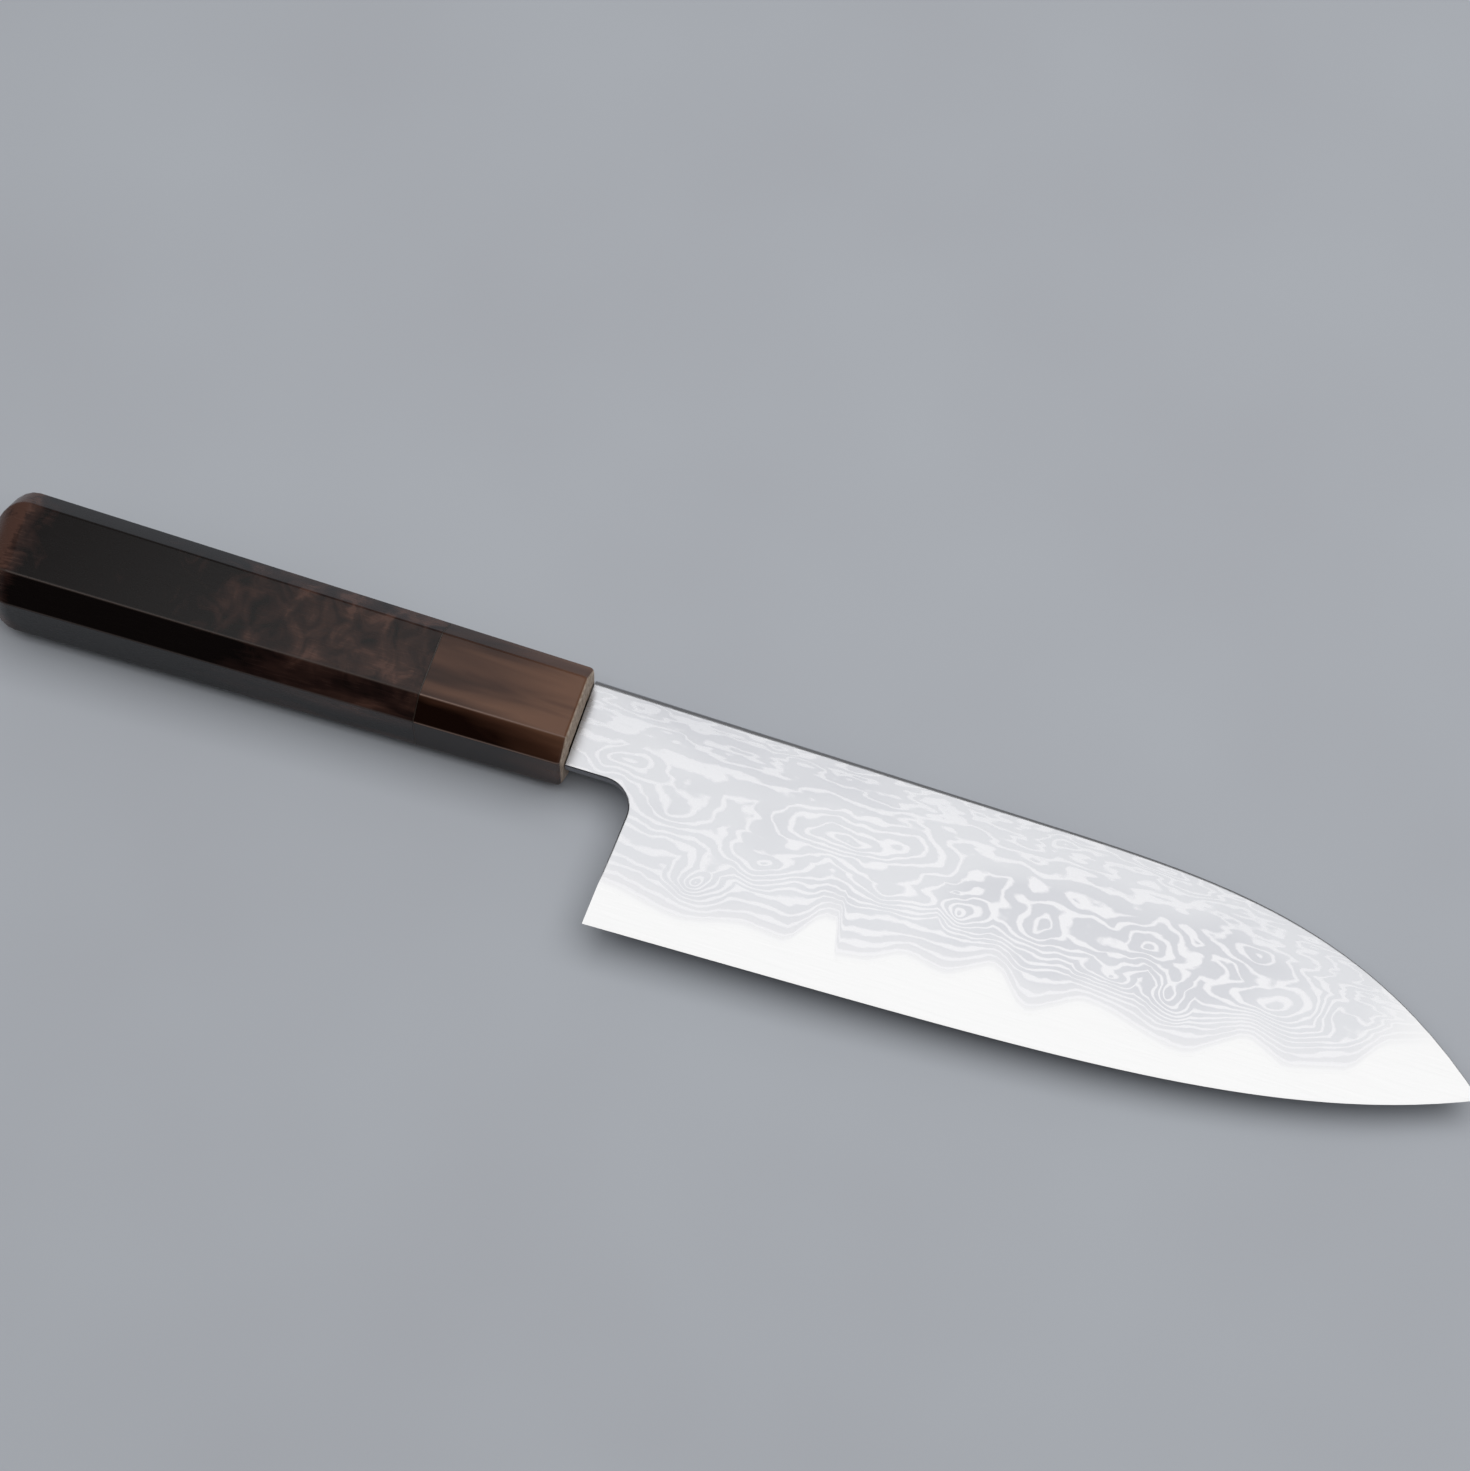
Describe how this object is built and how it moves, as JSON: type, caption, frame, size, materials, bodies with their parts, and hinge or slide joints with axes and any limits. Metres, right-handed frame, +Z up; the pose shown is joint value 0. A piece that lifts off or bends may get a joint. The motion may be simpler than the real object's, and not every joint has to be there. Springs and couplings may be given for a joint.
{
  "type": "santoku knife",
  "caption": "Santoku kitchen knife with a layered steel blade, a bare core steel edge, a marbled horn ferrule and a tapered octagonal dark wood handle with a domed butt.",
  "frame": {"origin": "on the table under the middle of the knife's box, with the knife lying on its left side", "axes": "+X towards the tip, +Y towards the spine, +Z up from the table"},
  "size_m": [0.3056, 0.0506, 0.0213],
  "materials": {
    "core_steel": "polished",
    "layered_steel": "satin",
    "horn": "gloss",
    "dark_hardwood": "gloss",
    "dowel_wood": "matte",
    "adhesive": "satin"
  },
  "bodies": {
    "root": {"core_steel": "core_steel", "right_cladding": "layered_steel", "left_cladding": "layered_steel", "ferrule": "horn", "ferrule_glue_line": "adhesive", "handle_body": "dark_hardwood", "handle_dowel": "dowel_wood", "tang_bedding": "adhesive"}
  },
  "joints": []
}
